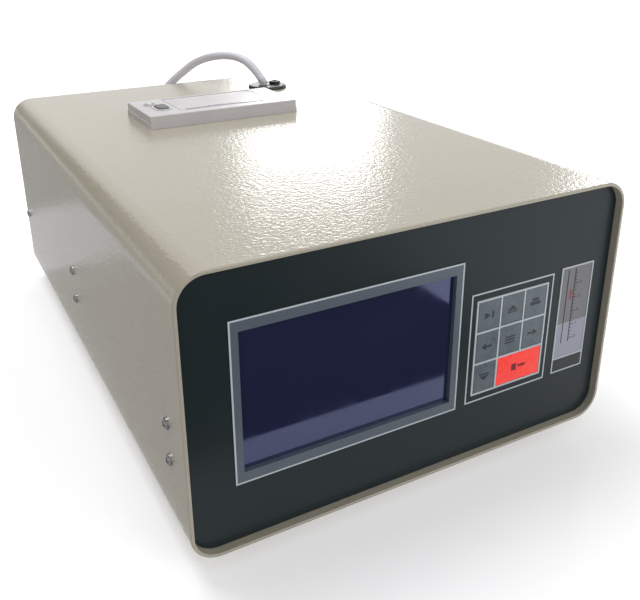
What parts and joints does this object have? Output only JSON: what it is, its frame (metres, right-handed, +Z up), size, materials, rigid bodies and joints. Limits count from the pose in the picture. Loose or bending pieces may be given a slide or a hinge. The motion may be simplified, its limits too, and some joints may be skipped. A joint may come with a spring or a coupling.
{
  "type": "airborne particle counter",
  "caption": "Bench instrument in a folded steel sleeve: recessed panel with display, keypad and flow meter, top printer, and a sampling inlet whose hose loops to the rear.",
  "frame": {"origin": "under the middle of the case, on the surface that its four feet stand on", "axes": "+Z up, +X to the right of someone facing the panel, the front panel looks along -Y, the depth of the case along Y"},
  "size_m": [0.2436, 0.3845, 0.1707],
  "materials": {
    "case_paint": "fine wrinkle powder coat, semi-gloss",
    "panel_steel": "zinc-plated sheet",
    "overlay_film": "black printed polyester film, satin",
    "bezel_plastic": "moulded ABS, satin",
    "clear_cover": "clear acrylic, polished",
    "lcd_glass": "dark display glass",
    "board_green": "printed circuit board",
    "grid_white": "moulded white plastic",
    "key_grey": "printed key cap, satin",
    "key_red": "printed key cap, satin",
    "silicone": "moulded silicone",
    "scale_pale": "printed scale plate",
    "float_steel": "turned stainless steel",
    "brass": "turned brass",
    "printer_plastic": "moulded ABS, fine texture",
    "key_dark": "moulded ABS",
    "lamp_clear": "diffused lens",
    "steel": "zinc-plated steel",
    "black_plastic": "moulded nylon",
    "rubber_black": "moulded rubber",
    "fitting_grey": "moulded acetal",
    "hose_white": "soft vinyl tube",
    "aluminium": "machined aluminium",
    "black_anodised": "black anodised aluminium"
  },
  "bodies": {
    "case": {"outer_sleeve": "case_paint", "feet": "rubber_black", "foot_screws": "steel", "side_screws": "steel", "front_panel": "panel_steel", "front_overlay": "overlay_film", "lcd_bezel": "bezel_plastic", "lcd_cover": "clear_cover", "lcd_glass": "lcd_glass", "lcd_board": "board_green", "keypad_grid": "grid_white", "keypad_mat": "silicone", "keypad_board": "board_green", "panel_screws": "steel", "meter_body": "clear_cover", "meter_scale": "scale_pale", "meter_nipples": "brass", "meter_frame": "grid_white", "printer_bezel": "printer_plastic", "printer_hinge_pin": "steel", "printer_key_board": "board_green", "printer_lamp": "lamp_clear", "paper_bay": "printer_plastic", "print_mechanism": "steel", "inlet_port": "black_plastic", "inlet_nut": "black_plastic", "port_plug": "black_plastic", "inlet_nipple": "fitting_grey", "sampling_hose": "hose_white", "rear_elbow": "fitting_grey", "rear_panel": "case_paint", "mains_inlet": "black_plastic", "mains_pins": "brass", "switch_frame": "black_plastic", "fuse_holder": "black_plastic", "serial_port": "steel", "exhaust_port": "brass", "chassis_tray": "panel_steel", "main_board": "board_green", "power_supply": "board_green", "optical_sensor": "aluminium", "inlet_tube": "steel", "laser_module": "black_anodised", "light_trap": "black_anodised", "detector_board": "board_green", "air_pump": "black_plastic", "exhaust_filter": "clear_cover"},
    "door": {"printer_door": "printer_plastic"},
    "platen": {"platen_roller": "rubber_black"},
    "feed_key": {"printer_feed_key": "key_dark"},
    "float": {"meter_float": "float_steel"},
    "rocker": {"power_rocker": "black_plastic"},
    "press_key_1": {"key_1": "key_grey"},
    "press_key_2": {"key_2": "key_grey"},
    "press_key_3": {"key_3": "key_grey"},
    "press_key_4": {"key_4": "key_grey"},
    "press_key_5": {"key_5": "key_grey"},
    "press_key_6": {"key_6": "key_grey"},
    "press_key_7": {"key_7": "key_grey"},
    "press_key_8": {"key_8": "key_red"}
  },
  "joints": [
    {"name": "door_hinge", "type": "hinge", "parent": "case", "child": "door", "pos_m": [-0.0005, 0.08445, 0.152], "axis": [-1, 0, 0], "range_deg": [0, 95]},
    {"name": "platen_spin", "type": "hinge", "parent": "case", "child": "platen", "pos_m": [-0.0005, 0.05425, 0.1414], "axis": [1, 0, 0], "continuous": true},
    {"name": "feed_key_press", "type": "slide", "parent": "case", "child": "feed_key", "axis": [0, 0, -1], "range_m": [0, 0.0008], "stiffness_N_per_m": 1200},
    {"name": "float_rise", "type": "slide", "parent": "case", "child": "float", "axis": [0, 0, 1], "range_m": [0, 0.037]},
    {"name": "rocker_tilt", "type": "hinge", "parent": "case", "child": "rocker", "pos_m": [0.042, 0.166, 0.042], "axis": [-1, 0, 0], "range_deg": [0, 24]},
    {"name": "key_1_press", "type": "slide", "parent": "case", "child": "press_key_1", "axis": [0, 1, 0], "range_m": [0, 0.0005], "stiffness_N_per_m": 1500},
    {"name": "key_2_press", "type": "slide", "parent": "case", "child": "press_key_2", "axis": [0, 1, 0], "range_m": [0, 0.0005], "stiffness_N_per_m": 1500},
    {"name": "key_3_press", "type": "slide", "parent": "case", "child": "press_key_3", "axis": [0, 1, 0], "range_m": [0, 0.0005], "stiffness_N_per_m": 1500},
    {"name": "key_4_press", "type": "slide", "parent": "case", "child": "press_key_4", "axis": [0, 1, 0], "range_m": [0, 0.0005], "stiffness_N_per_m": 1500},
    {"name": "key_5_press", "type": "slide", "parent": "case", "child": "press_key_5", "axis": [0, 1, 0], "range_m": [0, 0.0005], "stiffness_N_per_m": 1500},
    {"name": "key_6_press", "type": "slide", "parent": "case", "child": "press_key_6", "axis": [0, 1, 0], "range_m": [0, 0.0005], "stiffness_N_per_m": 1500},
    {"name": "key_7_press", "type": "slide", "parent": "case", "child": "press_key_7", "axis": [0, 1, 0], "range_m": [0, 0.0005], "stiffness_N_per_m": 1500},
    {"name": "key_8_press", "type": "slide", "parent": "case", "child": "press_key_8", "axis": [0, 1, 0], "range_m": [0, 0.0005], "stiffness_N_per_m": 1500}
  ]
}
